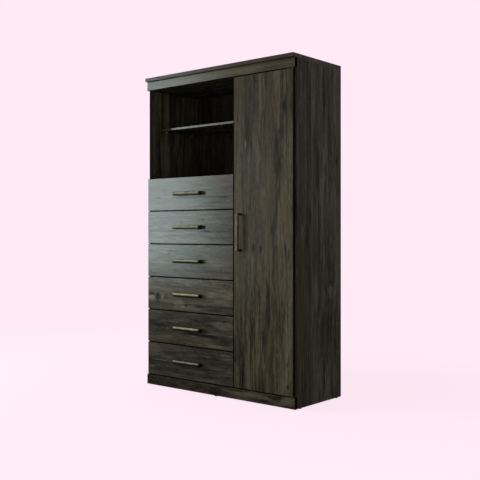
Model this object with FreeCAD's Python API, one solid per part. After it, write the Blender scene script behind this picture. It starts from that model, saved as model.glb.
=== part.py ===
import FreeCAD, Part
import os
from FreeCAD import Vector

# Combination chest in oak decor board, in millimetres: six drawers, an open niche and a tall cupboard.
# X runs from the left end to the right end, the fronts face -Y, and the floor is z = 0.

# Edges and faces closer than this lie in one plane
TOUCH = 0.001

# Carcass
WIDTH = 900.0
DEPTH = 355.0
HEIGHT = 1507.0
BOARD = 16.0
BACK_BOARD = 3.0
BACK_SETBACK = 7.0
BACK_GROOVE = 5.0
TOP_OVERHANG = 14.0
FASCIA_HEIGHT = 42.5
PLINTH_HEIGHT = 48.5
PLINTH_LAP = 2.0
PARTITION_X = 111.5
GLIDE_HEIGHT = 3.0
GLIDE_RADIUS = 7.5
GLIDE_INSET = 30.0

# Fronts
FRONT_BOARD = 16.0
FRONT_GAP = 4.0
FRONT_CLEARANCE = 2.0
FRONT_MARGIN = 9.0
FRONT_HEIGHT = 156.0
DRAWER_COUNT = 6
EDGE_RADIUS = 0.8

# Drawer boxes
BOX_BOARD = 12.0
BOX_HEIGHT = 110.0
BOX_LENGTH = 310.0
BOX_RISE = 18.0
DRAWER_BOTTOM = 3.0
BOTTOM_RISE = 10.0
BOTTOM_GROOVE = 5.0

# Ball bearing slides of three nested channels, whose lips close the ball races
SLIDE_WIDTH = 12.7
SLIDE_HEIGHT = 35.0
SLIDE_LENGTH = 300.0
SLIDE_SETBACK = 2.0
SLIDE_RISE = 35.0
SLIDE_STEEL = 1.2
SLIDE_RACE = 2.4
SLIDE_PLAY = 0.4
MID_STAND_OFF = 1.0
OUTER_SHORT = 3.2
SLIDE_BEND = 0.8

# Shelves and their pins
NICHE_SHELF = 10.0
NICHE_SHELF_SHARE = 0.56
NICHE_SHELF_SETBACK = 70.0
SHELF_COUNT = 4
SHELF_SETBACK = 22.0
SHELF_PLAY = 0.8
PIN_RADIUS = 2.5
PIN_REACH = 9.0
PIN_DEPTH = 7.0
PIN_FIT = 0.1
PIN_INSET = 37.0

# Handles, bars bent to a wide U whose outer face is bowed across its width
HANDLE_SPAN = 170.0
HANDLE_REACH = 26.0
HANDLE_WIDTH = 18.0
HANDLE_BAR = 6.5
HANDLE_LEG = 9.0
HANDLE_CORNER = 5.0
HANDLE_BEND = 2.5
HANDLE_BOW = 2.0
HANDLE_ROUND = 1.0
DOOR_HANDLE_INSET = 37.0

# Pivot hinges above and below the cupboard door
PIVOT_INSET = 5.0
PIVOT_PIN_RADIUS = 3.0
PIVOT_PIN_DEPTH = 12.0
PIVOT_PLAY = 0.3
PIVOT_BORE_PLAY = 0.6
PIVOT_WASHER_RADIUS = 4.8
PLATE_STEEL = 2.5
PLATE_WIDTH = 11.0
PLATE_LENGTH = 44.0
PLATE_MARGIN = 0.4
PLATE_ROUND = 2.0
PLATE_SCREW_RADIUS = 2.0
PLATE_SCREW_PITCH = 14.0

# Magnetic catch of the cupboard door
CATCH_LENGTH = 46.0
CATCH_WIDTH = 14.0
CATCH_DEPTH = 15.0
CATCH_DROP = 60.0
CATCH_ROUND = 2.0
STRIKE_STEEL = 1.2
STRIKE_LENGTH = 38.0
STRIKE_WIDTH = 12.0
STRIKE_PLAY = 0.3

# Planes across the width
LEFT = -WIDTH / 2
RIGHT = WIDTH / 2
BAY_LEFT = LEFT + BOARD
BAY_RIGHT = RIGHT - BOARD
PARTITION_LEFT = PARTITION_X - BOARD / 2
PARTITION_RIGHT = PARTITION_X + BOARD / 2
DRAWER_LEFT = LEFT + FRONT_MARGIN
DRAWER_RIGHT = PARTITION_X - FRONT_GAP / 2
DOOR_LEFT = PARTITION_X + FRONT_GAP / 2
DOOR_RIGHT = RIGHT - FRONT_MARGIN

# Planes from front to back, with the handles and the rear edges the same distance from y = 0
HANDLE_PROUD = HANDLE_REACH + FRONT_BOARD + FRONT_CLEARANCE - BOARD
FACE = (max(HANDLE_PROUD, TOP_OVERHANG) - DEPTH) / 2
REAR = FACE + DEPTH
CARCASS_FRONT = FACE + BOARD
FRONT_BACK = CARCASS_FRONT - FRONT_CLEARANCE
FRONT_FACE = FRONT_BACK - FRONT_BOARD
BACK_FACE = REAR - BACK_SETBACK - BACK_BOARD

# Planes from the floor up
SIDE_TOP = HEIGHT - BOARD
FASCIA_BASE = SIDE_TOP - FASCIA_HEIGHT
PLINTH_TOP = GLIDE_HEIGHT + PLINTH_HEIGHT
BOTTOM_BASE = PLINTH_TOP - PLINTH_LAP
BAY_FLOOR = BOTTOM_BASE + BOARD
FRONT_BASE = PLINTH_TOP + FRONT_GAP
FRONT_PITCH = FRONT_HEIGHT + FRONT_GAP
NICHE_FLOOR = FRONT_BASE + DRAWER_COUNT * FRONT_PITCH - FRONT_GAP
DOOR_TOP = FASCIA_BASE - FRONT_GAP

# Pivot axis of the door
PIVOT_X = DOOR_RIGHT - PIVOT_INSET
PIVOT_Y = FRONT_FACE + FRONT_BOARD / 2


def block(x0, x1, y0, y1, z0, z1):
    return Part.makeBox(x1 - x0, y1 - y0, z1 - z0, Vector(x0, y0, z0))


def post(x, y, z0, z1, radius):
    return Part.makeCylinder(radius, z1 - z0, Vector(x, y, z0))


def cut_all(shape, tools):
    for tool in tools:
        shape = shape.cut(tool)
    return shape


def soft_front(shape, face_y, radius):
    # Round the four edges of a board around its front face.
    edges = []
    for edge in shape.Edges:
        box = edge.BoundBox
        if abs(box.YMin - face_y) < TOUCH and abs(box.YMax - face_y) < TOUCH:
            edges.append(edge)
    return shape.makeFillet(radius, edges)


def front_board(x0, x1, z0, z1):
    board = block(x0, x1, FRONT_FACE, FRONT_BACK, z0, z1)
    return soft_front(board, FRONT_FACE, EDGE_RADIUS)


# Handles
def arch_face(half, front, radius):
    # Flat outline open to y = 0, with two round corners at the front.
    turn = radius * (1 - 0.5 ** 0.5)
    points = [
        Vector(-half, 0, 0),
        Vector(-half, front + radius, 0),
        Vector(-half + radius, front, 0),
        Vector(half - radius, front, 0),
        Vector(half, front + radius, 0),
        Vector(half, 0, 0),
    ]
    left_middle = Vector(-half + turn, front + turn, 0)
    right_middle = Vector(half - turn, front + turn, 0)
    edges = [
        Part.LineSegment(points[0], points[1]).toShape(),
        Part.Arc(points[1], left_middle, points[2]).toShape(),
        Part.LineSegment(points[2], points[3]).toShape(),
        Part.Arc(points[3], right_middle, points[4]).toShape(),
        Part.LineSegment(points[4], points[5]).toShape(),
        Part.LineSegment(points[5], points[0]).toShape(),
    ]
    return Part.Face(Part.Wire(edges))


def rim_face(axis_x, axis_y):
    # Section of the bar from a corner's axis out to its bowed edge, across the leg.
    half = HANDLE_WIDTH / 2
    edge_x = axis_x + HANDLE_CORNER - HANDLE_BOW
    low = Vector(edge_x, axis_y, -half)
    crown = Vector(axis_x + HANDLE_CORNER, axis_y, 0)
    high = Vector(edge_x, axis_y, half)
    inner_high = Vector(axis_x, axis_y, half)
    inner_low = Vector(axis_x, axis_y, -half)
    edges = [
        Part.Arc(low, crown, high).toShape(),
        Part.LineSegment(high, inner_high).toShape(),
        Part.LineSegment(inner_high, inner_low).toShape(),
        Part.LineSegment(inner_low, low).toShape(),
    ]
    return Part.Face(Part.Wire(edges))


def bowed_arch():
    # The bar's outline filled in, with one bowed face running round both corners.
    half = HANDLE_WIDTH / 2
    axis_x = HANDLE_SPAN / 2 - HANDLE_CORNER
    axis_y = HANDLE_CORNER - HANDLE_REACH
    axis = Vector(axis_x, axis_y, 0)
    rim = rim_face(axis_x, axis_y)
    leg = rim.extrude(Vector(0, -axis_y, 0))
    corner = rim.revolve(axis, Vector(0, 0, 1), -90)
    rim.rotate(axis, Vector(0, 0, 1), -90)
    bar = rim.extrude(Vector(-2 * axis_x, 0, 0))
    core = block(-axis_x, axis_x, axis_y, 0, -half, half)
    rims = [leg, corner, bar]
    for shape in (leg, corner):
        rims.append(shape.mirror(Vector(0, 0, 0), Vector(1, 0, 0)))
    return core.fuse(rims).removeSplitter()


def handle():
    inner = arch_face(HANDLE_SPAN / 2 - HANDLE_LEG, HANDLE_BAR - HANDLE_REACH, HANDLE_BEND)
    hollow = inner.extrude(Vector(0, 0, HANDLE_WIDTH))
    hollow.translate(Vector(0, 0, -HANDLE_WIDTH / 2))
    bar = bowed_arch().cut(hollow)
    edges = []
    for edge in bar.Edges:
        box = edge.BoundBox
        lies_flat = box.ZMax - box.ZMin < TOUCH
        if lies_flat and box.YMin < -TOUCH:
            edges.append(edge)
    return bar.makeFillet(HANDLE_ROUND, edges).Solids[0]


def level_handle(x, z):
    bar = handle()
    bar.translate(Vector(x, FRONT_FACE, z))
    return bar


def upright_handle(x, z):
    bar = handle()
    bar.rotate(Vector(0, 0, 0), Vector(0, 1, 0), 90)
    bar.translate(Vector(x, FRONT_FACE, z))
    return bar


# Slides
def channel(x_web, x_tip, z_middle, half_height, lip):
    # Channel with its web at x_web, two flanges reaching to x_tip, and lips turned in at their ends.
    toward = 1 if x_tip > x_web else -1
    inside = x_web + toward * SLIDE_STEEL
    lip_back = x_tip - toward * SLIDE_STEEL
    flange = half_height - SLIDE_STEEL
    half = [(x_web, half_height), (x_tip, half_height)]
    if lip > 0:
        half += [(x_tip, flange - lip), (lip_back, flange - lip), (lip_back, flange)]
    else:
        half += [(x_tip, flange)]
    half += [(inside, flange)]
    upper = [Vector(x, 0, z_middle + z) for x, z in half]
    lower = [Vector(x, 0, z_middle - z) for x, z in reversed(half)]
    outline = upper + lower + upper[:1]
    bar = Part.Face(Part.makePolygon(outline)).extrude(Vector(0, SLIDE_LENGTH, 0))
    bends = []
    for edge in bar.Edges:
        box = edge.BoundBox
        runs_along = box.YMax - box.YMin > SLIDE_LENGTH / 2
        on_web = abs(box.XMin - x_web) < TOUCH and abs(box.XMax - x_web) < TOUCH
        if runs_along and on_web:
            bends.append(edge)
    bar = bar.makeFillet(SLIDE_BEND, bends)
    bar.translate(Vector(0, CARCASS_FRONT + SLIDE_SETBACK, 0))
    return bar


def slide_members(wall, toward, z_middle):
    # The cabinet, middle and drawer members of one slide; toward points from the wall to the drawer.
    outer_half = SLIDE_HEIGHT / 2
    mid_half = outer_half - SLIDE_STEEL - SLIDE_RACE
    inner_half = mid_half - SLIDE_STEEL - SLIDE_RACE
    lip = SLIDE_RACE - SLIDE_PLAY
    outer_tip = SLIDE_WIDTH - OUTER_SHORT
    mid_web = SLIDE_STEEL + MID_STAND_OFF
    mid_tip = SLIDE_WIDTH - SLIDE_STEEL - SLIDE_PLAY
    inner_tip = mid_web + SLIDE_STEEL + 2 * SLIDE_PLAY
    outer = channel(wall, wall + toward * outer_tip, z_middle, outer_half, lip)
    mid = channel(wall + toward * mid_web, wall + toward * mid_tip, z_middle, mid_half, lip)
    inner = channel(wall + toward * SLIDE_WIDTH, wall + toward * inner_tip, z_middle, inner_half, 0)
    return outer, mid, inner


# Drawers
def front_base(number):
    # Underside of a drawer front, counted from the top drawer down.
    return FRONT_BASE + (DRAWER_COUNT - number) * FRONT_PITCH


def drawer_nodes(number):
    base = front_base(number)
    box_left = BAY_LEFT + SLIDE_WIDTH
    box_right = PARTITION_LEFT - SLIDE_WIDTH
    inside_left = box_left + BOX_BOARD
    inside_right = box_right - BOX_BOARD
    box_rear = FRONT_BACK + BOX_LENGTH
    back_face = box_rear - BOX_BOARD
    low = base + BOX_RISE
    high = low + BOX_HEIGHT
    bottom = block(
        inside_left - BOTTOM_GROOVE,
        inside_right + BOTTOM_GROOVE,
        FRONT_BACK - BOTTOM_GROOVE,
        back_face + BOTTOM_GROOVE,
        low + BOTTOM_RISE,
        low + BOTTOM_RISE + DRAWER_BOTTOM,
    )
    front = front_board(DRAWER_LEFT, DRAWER_RIGHT, base, base + FRONT_HEIGHT).cut(bottom)
    left = block(box_left, inside_left, FRONT_BACK, box_rear, low, high).cut(bottom)
    right = block(inside_right, box_right, FRONT_BACK, box_rear, low, high).cut(bottom)
    back = block(inside_left, inside_right, back_face, box_rear, low, high).cut(bottom)
    slide_middle = low + SLIDE_RISE
    left_slide = slide_members(BAY_LEFT, 1, slide_middle)
    right_slide = slide_members(PARTITION_LEFT, -1, slide_middle)
    handle_x = (DRAWER_LEFT + DRAWER_RIGHT) / 2
    name = "drawer_%d_" % number
    nodes = {
        name + "front": [front],
        name + "box": [left, right, back],
        name + "bottom": [bottom],
        name + "handle": [level_handle(handle_x, base + FRONT_HEIGHT / 2)],
        name + "rails": [left_slide[2], right_slide[2]],
        name + "mid_rails": [left_slide[1], right_slide[1]],
    }
    return nodes, [left_slide[0], right_slide[0]]


# Shelves
def shelf_pin(wall, toward, y, z):
    start = Vector(wall - toward * PIN_DEPTH, y, z)
    return Part.makeCylinder(PIN_RADIUS, PIN_DEPTH + PIN_REACH, start, Vector(toward, 0, 0))


def pin_hole(wall, toward, y, z):
    start = Vector(wall - toward * (PIN_DEPTH + PIN_FIT), y, z)
    length = PIN_DEPTH + PIN_FIT + PIN_REACH
    return Part.makeCylinder(PIN_RADIUS + PIN_FIT, length, start, Vector(toward, 0, 0))


def shelf_places():
    # Left wall, right wall, front edge, underside and thickness of every loose shelf.
    niche = (
        BAY_LEFT,
        PARTITION_LEFT,
        CARCASS_FRONT + NICHE_SHELF_SETBACK,
        NICHE_FLOOR + NICHE_SHELF_SHARE * (FASCIA_BASE - NICHE_FLOOR),
        NICHE_SHELF,
    )
    places = [niche]
    pitch = (FASCIA_BASE - BAY_FLOOR) / (SHELF_COUNT + 1)
    for number in range(1, SHELF_COUNT + 1):
        base = BAY_FLOOR + number * pitch - BOARD / 2
        places.append((PARTITION_RIGHT, BAY_RIGHT, CARCASS_FRONT + SHELF_SETBACK, base, BOARD))
    return places


def shelf_board(place):
    left, right, front, base, thickness = place
    board = block(
        left + SHELF_PLAY, right - SHELF_PLAY, front, BACK_FACE - SHELF_PLAY, base, base + thickness
    )
    return soft_front(board, front, EDGE_RADIUS)


def pins_of(place, maker):
    left, right, front, base = place[:4]
    pins = []
    for y in (front + PIN_INSET, BACK_FACE - PIN_INSET):
        pins.append(maker(left, 1, y, base - PIN_RADIUS))
        pins.append(maker(right, -1, y, base - PIN_RADIUS))
    return pins


# Door hinges
def on_axis(z_first, z_last, radius):
    return post(PIVOT_X, PIVOT_Y, min(z_first, z_last), max(z_first, z_last), radius)


def flat_plate(edge, seat_end):
    # Plate let into a board from its edge to the end of its seat, and the two screw holes in it.
    base = min(edge, seat_end)
    top = max(edge, seat_end)
    x1 = PIVOT_X + PIVOT_INSET - PLATE_MARGIN
    x0 = x1 - PLATE_LENGTH
    plate = block(x0, x1, PIVOT_Y - PLATE_WIDTH / 2, PIVOT_Y + PLATE_WIDTH / 2, base, top)
    edges = [edge for edge in plate.Edges if abs(edge.BoundBox.XMax - x0) < TOUCH]
    corners = [edge for edge in edges if edge.BoundBox.ZMax - edge.BoundBox.ZMin > PLATE_STEEL / 2]
    plate = plate.makeFillet(PLATE_ROUND, corners)
    holes = []
    for step in (1, 2):
        x = PIVOT_X - step * PLATE_SCREW_PITCH
        holes.append(post(x, PIVOT_Y, base, top, PLATE_SCREW_RADIUS))
    return plate, holes


def pivot(frame_edge, door_edge):
    # Frame plate with its pin, door plate with its hole, washer, and the bore in the door.
    up = 1 if frame_edge > door_edge else -1
    frame_seat_end = frame_edge + up * PLATE_STEEL
    door_seat_end = door_edge - up * PLATE_STEEL
    pin_end = door_edge - up * PIVOT_PIN_DEPTH
    plate, holes = flat_plate(frame_edge, frame_seat_end)
    door_seat, door_holes = flat_plate(door_edge, door_seat_end)
    pin = on_axis(pin_end, frame_edge, PIVOT_PIN_RADIUS)
    bore = on_axis(pin_end - up * PIVOT_BORE_PLAY, door_edge, PIVOT_PIN_RADIUS + PIVOT_BORE_PLAY)
    eye = on_axis(frame_edge, door_seat_end, PIVOT_PIN_RADIUS + PIVOT_PLAY)
    washer = on_axis(frame_edge - up * PIVOT_PLAY, door_edge, PIVOT_WASHER_RADIUS).cut(eye)
    return {
        "seat": plate,
        "frame": cut_all(plate, holes).fuse(pin).removeSplitter(),
        "door_seat": door_seat,
        "door": cut_all(door_seat, door_holes + [eye]),
        "washer": washer,
        "bore": bore,
    }


def door_catch():
    front = FRONT_BACK + STRIKE_STEEL + STRIKE_PLAY
    middle = FASCIA_BASE - CATCH_DROP
    housing = block(
        PARTITION_RIGHT,
        PARTITION_RIGHT + CATCH_WIDTH,
        front,
        front + CATCH_DEPTH,
        middle - CATCH_LENGTH / 2,
        middle + CATCH_LENGTH / 2,
    )
    corners = []
    for edge in housing.Edges:
        box = edge.BoundBox
        if box.YMax - box.YMin > CATCH_DEPTH / 2 and box.XMin > PARTITION_RIGHT + CATCH_WIDTH / 2:
            corners.append(edge)
    housing = housing.makeFillet(CATCH_ROUND, corners)
    plate_x = PARTITION_RIGHT + CATCH_WIDTH / 2
    plate = block(
        plate_x - STRIKE_WIDTH / 2,
        plate_x + STRIKE_WIDTH / 2,
        FRONT_BACK,
        FRONT_BACK + STRIKE_STEEL,
        middle - STRIKE_LENGTH / 2,
        middle + STRIKE_LENGTH / 2,
    )
    return housing, plate


# Carcass
def back_panels():
    low = BAY_FLOOR - BACK_GROOVE
    high = FASCIA_BASE + BACK_GROOVE
    rear = BACK_FACE + BACK_BOARD
    left = block(BAY_LEFT - BACK_GROOVE, PARTITION_LEFT + BACK_GROOVE, BACK_FACE, rear, low, high)
    right = block(PARTITION_RIGHT - BACK_GROOVE, BAY_RIGHT + BACK_GROOVE, BACK_FACE, rear, low, high)
    return left, right


def floor_glides():
    rear_y = REAR - GLIDE_INSET
    front_y = CARCASS_FRONT + GLIDE_INSET
    places = [
        (LEFT + BOARD / 2, front_y),
        (LEFT + BOARD / 2, rear_y),
        (RIGHT - BOARD / 2, front_y),
        (RIGHT - BOARD / 2, rear_y),
        (0, FACE + BOARD / 2),
        (0, REAR - BOARD / 2),
    ]
    return [post(x, y, 0, GLIDE_HEIGHT, GLIDE_RADIUS) for x, y in places]


def carcass_nodes(upper, lower):
    back_left, back_right = back_panels()
    holes = []
    pins = []
    shelves = []
    for place in shelf_places():
        holes.extend(pins_of(place, pin_hole))
        pins.extend(pins_of(place, shelf_pin))
        shelves.append(shelf_board(place))
    left = block(LEFT, BAY_LEFT, CARCASS_FRONT, REAR, GLIDE_HEIGHT, SIDE_TOP)
    right = block(BAY_RIGHT, RIGHT, CARCASS_FRONT, REAR, GLIDE_HEIGHT, SIDE_TOP)
    partition = block(PARTITION_LEFT, PARTITION_RIGHT, CARCASS_FRONT, REAR, BAY_FLOOR, FASCIA_BASE)
    inner_top = block(BAY_LEFT, BAY_RIGHT, CARCASS_FRONT, REAR, FASCIA_BASE, FASCIA_BASE + BOARD)
    bottom = block(BAY_LEFT, BAY_RIGHT, CARCASS_FRONT, REAR, BOTTOM_BASE, BAY_FLOOR)
    backs = [back_left, back_right]
    top = block(LEFT, RIGHT, FACE - TOP_OVERHANG, REAR, SIDE_TOP, HEIGHT)
    fascia = block(LEFT, RIGHT, FACE, CARCASS_FRONT, FASCIA_BASE, SIDE_TOP)
    plinth = block(LEFT, RIGHT, FACE, CARCASS_FRONT, GLIDE_HEIGHT, PLINTH_TOP)
    rail_front = REAR - BOARD
    low_rail = block(BAY_LEFT, BAY_RIGHT, rail_front, REAR, GLIDE_HEIGHT, BOTTOM_BASE)
    top_rail = block(BAY_LEFT, BAY_RIGHT, rail_front, REAR, FASCIA_BASE + BOARD, SIDE_TOP)
    niche_floor = block(BAY_LEFT, PARTITION_LEFT, CARCASS_FRONT, BACK_FACE, NICHE_FLOOR - BOARD, NICHE_FLOOR)
    return {
        "left_side": [cut_all(left, backs + holes)],
        "right_side": [cut_all(right, backs + holes)],
        "partition": [cut_all(partition, backs + holes)],
        "inner_top": [cut_all(inner_top, backs)],
        "bottom_panel": [cut_all(bottom, backs)],
        "back_left": [back_left],
        "back_right": [back_right],
        "top_board": [soft_front(top, FACE - TOP_OVERHANG, EDGE_RADIUS)],
        "fascia": [soft_front(fascia, FACE, EDGE_RADIUS).cut(upper["seat"])],
        "plinth": [soft_front(plinth, FACE, EDGE_RADIUS).cut(lower["seat"])],
        "rear_rails": [low_rail, top_rail],
        "niche_floor": [niche_floor],
        "niche_shelf": [shelves[0]],
        "cupboard_shelves": shelves[1:],
        "shelf_pins": pins,
        "floor_glides": floor_glides(),
    }


def door_nodes(upper, lower):
    panel = front_board(DOOR_LEFT, DOOR_RIGHT, FRONT_BASE, DOOR_TOP)
    seats = [upper["door_seat"], upper["bore"], lower["door_seat"], lower["bore"]]
    middle = (FRONT_BASE + DOOR_TOP) / 2
    housing, plate = door_catch()
    return {
        "door_panel": [cut_all(panel, seats)],
        "door_handle": [upright_handle(DOOR_LEFT + DOOR_HANDLE_INSET, middle)],
        "pivot_plates": [upper["frame"], lower["frame"]],
        "door_pivot_plates": [upper["door"], lower["door"]],
        "pivot_washers": [upper["washer"], lower["washer"]],
        "door_catch": [housing],
        "catch_plate": [plate],
    }


def export(name, solids):
    shape = solids[0] if len(solids) == 1 else Part.makeCompound(solids)
    shape.exportStep("parts/%s.step" % name)
    return len(solids)


def main():
    os.makedirs("parts", exist_ok=True)
    upper = pivot(FASCIA_BASE, DOOR_TOP)
    lower = pivot(PLINTH_TOP, FRONT_BASE)
    nodes = carcass_nodes(upper, lower)
    nodes.update(door_nodes(upper, lower))
    cabinet_rails = []
    for number in range(1, DRAWER_COUNT + 1):
        drawer, outer_members = drawer_nodes(number)
        nodes.update(drawer)
        cabinet_rails.extend(outer_members)
    nodes["cabinet_rails"] = cabinet_rails
    solids = 0
    for name, shapes in nodes.items():
        solids += export(name, shapes)
    print("nodes", len(nodes), "solids", solids)


main()
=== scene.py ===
import bpy
import bmesh
import math
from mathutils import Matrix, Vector


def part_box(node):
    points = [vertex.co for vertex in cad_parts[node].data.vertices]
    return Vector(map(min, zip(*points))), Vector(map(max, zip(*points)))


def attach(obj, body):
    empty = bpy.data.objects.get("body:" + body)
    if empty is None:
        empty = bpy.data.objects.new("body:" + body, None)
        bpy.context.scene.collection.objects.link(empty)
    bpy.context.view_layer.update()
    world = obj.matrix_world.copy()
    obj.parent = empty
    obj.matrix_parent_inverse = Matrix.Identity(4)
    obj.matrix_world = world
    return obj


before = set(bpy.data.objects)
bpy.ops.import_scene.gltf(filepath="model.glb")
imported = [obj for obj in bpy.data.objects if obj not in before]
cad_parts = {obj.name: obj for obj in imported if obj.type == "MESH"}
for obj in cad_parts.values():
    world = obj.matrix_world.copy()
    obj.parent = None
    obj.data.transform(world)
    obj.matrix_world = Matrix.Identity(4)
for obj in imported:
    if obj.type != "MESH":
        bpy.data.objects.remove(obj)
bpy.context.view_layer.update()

from types import SimpleNamespace

# A tall chest in dark oak decor: drawers and an open niche at the left, a cupboard at the right.
# Lengths are metres. Places come from the frame's nodes.

scene = bpy.context.scene
DRAWERS = range(1, 7)
AXES = "xyz"

# Camera, level, at the right of the chest, worked out from the photograph's two vanishing points
CAMERA_PLACE = (2.3886, -2.8367, 0.7534)
CAMERA_TURN = math.radians(39.968)
LENS_MM = 58.725
SENSOR_MM = 36.0
SHIFT_Y = -0.01755
SEEN_TO = 60.0

# Lamps: place, aim, width, height, watts and colour. The fronts mirror the sheen lamp.
LAMPS = {
    "sheen_lamp": ((-3.55, -2.85, 1.42), (-0.4, -0.16, 1.0), 1.45, 2.15, 126.0, (0.82, 1.0, 1.0)),
    "fill_lamp": ((2.6, -3.4, 1.15), (0.2, -0.16, 0.65), 2.2, 1.8, 32.0, (1.0, 1.0, 1.0)),
}


# Colours


def linear(byte):
    value = byte / 255
    return value / 12.92 if value <= 0.04045 else ((value + 0.055) / 1.055) ** 2.4


def rgb(red, green, blue, share=1.0):
    """A colour written as sRGB bytes, scaled by a share, in Blender's linear values."""
    return (linear(red * share), linear(green * share), linear(blue * share), 1.0)


# Shader maths


class Sum:
    """A socket that takes part in Python expressions, each of which adds its Math node."""

    def __init__(self, nodes, socket):
        self.nodes = nodes
        self.socket = socket

    def _math(self, operation, other=0.0, swap=False):
        first, second = (other, self) if swap else (self, other)
        return self.nodes.add("ShaderNodeMath", {"operation": operation}, {0: first, 1: second})[0]

    def __add__(self, other):
        return self._math("ADD", other)

    __radd__ = __add__

    def __mul__(self, other):
        return self._math("MULTIPLY", other)

    __rmul__ = __mul__

    def __sub__(self, other):
        return self._math("SUBTRACT", other)

    def __rsub__(self, other):
        return self._math("SUBTRACT", other, swap=True)

    def __truediv__(self, other):
        return self._math("DIVIDE", other)

    def __pow__(self, other):
        return self._math("POWER", other)

    def __gt__(self, other):
        return self._math("GREATER_THAN", other)

    def __lt__(self, other):
        return self._math("LESS_THAN", other)

    def __abs__(self):
        return self._math("ABSOLUTE")

    def floor(self):
        return self._math("FLOOR")

    def sine(self):
        return self._math("SINE")

    def smallest(self, other):
        return self._math("MINIMUM", other)

    def largest(self, other):
        return self._math("MAXIMUM", other)

    def step(self, low, high):
        """0 below low and 1 above high, smooth between them."""
        settings = {"interpolation_type": "SMOOTHSTEP"}
        inputs = {"Value": self, "From Min": low, "From Max": high}
        return self.nodes.add("ShaderNodeMapRange", settings, inputs)[0]


# Outputs of the Texture Coordinate and Light Path nodes
NORMAL = 1
OBJECT = 3
CAMERA_RAY = 0
GLOSSY_RAY = 3
TRANSMISSION_RAY = 6


class Nodes:
    """The nodes that make one material, or the world."""

    def __init__(self, owner):
        owner.use_nodes = True
        self.owner = owner
        self.tree = owner.node_tree
        self.tree.nodes.clear()

    def add(self, kind, settings=None, inputs=None):
        """One node's outputs, once its settings and then the values or links of its sockets are set."""
        new = self.tree.nodes.new(kind)
        for key, value in (settings or {}).items():
            if key == "stops":
                self._stops(new, value)
            else:
                setattr(new, key, value)
        for key, value in (inputs or {}).items():
            socket = new.inputs[key]
            if isinstance(value, Sum):
                self.tree.links.new(value.socket, socket)
            else:
                socket.default_value = value
        return [Sum(self, out) for out in new.outputs if out.enabled]

    def _stops(self, ramp, stops):
        elements = ramp.color_ramp.elements
        while len(elements) < len(stops):
            elements.new(1.0)
        for element, (place, colour) in zip(elements, stops):
            element.position = place
            element.color = colour

    def place(self):
        """Where a point lies on the resting piece."""
        return self.add("ShaderNodeTexCoord")[OBJECT]

    def facing(self):
        """Which way the surface faces on the resting piece."""
        return self.add("ShaderNodeTexCoord")[NORMAL]

    def parts(self, vector):
        return self.add("ShaderNodeSeparateXYZ", None, {0: vector})

    def join(self, x, y, z):
        return self.add("ShaderNodeCombineXYZ", None, {0: x, 1: y, 2: z})[0]

    def noise(self, vector, scale, detail=3.0, rough=0.5, twist=0.0):
        inputs = {"Vector": vector, "Scale": scale, "Detail": detail}
        inputs |= {"Roughness": rough, "Distortion": twist}
        return self.add("ShaderNodeTexNoise", None, inputs)[0]

    def ramp(self, value, *stops):
        return self.add("ShaderNodeValToRGB", {"stops": stops}, {0: value})[0]

    def blend(self, amount, first, second):
        return self.add("ShaderNodeMix", {"data_type": "RGBA"}, {0: amount, 6: first, 7: second})[0]

    def bump(self, height, depth):
        inputs = {"Height": height, "Distance": depth, "Strength": 1.0}
        return self.add("ShaderNodeBump", None, inputs)[0]

    def surface(self, colour, rough, normal, metal=0.0, gloss=0.5, coat=0.0, coat_rough=0.1):
        inputs = {
            "Base Color": colour,
            "Roughness": rough,
            "Normal": normal,
            "Metallic": metal,
            "Specular IOR Level": gloss,
            "Coat Weight": coat,
            "Coat Roughness": coat_rough,
        }
        shader = self.add("ShaderNodeBsdfPrincipled", None, inputs)[0]
        self.add("ShaderNodeOutputMaterial", None, {0: shader})
        return self.owner


def finish(name):
    return Nodes(bpy.data.materials.new(name))


def paint(node, material):
    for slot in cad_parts[node].material_slots:
        slot.material = material


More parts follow.
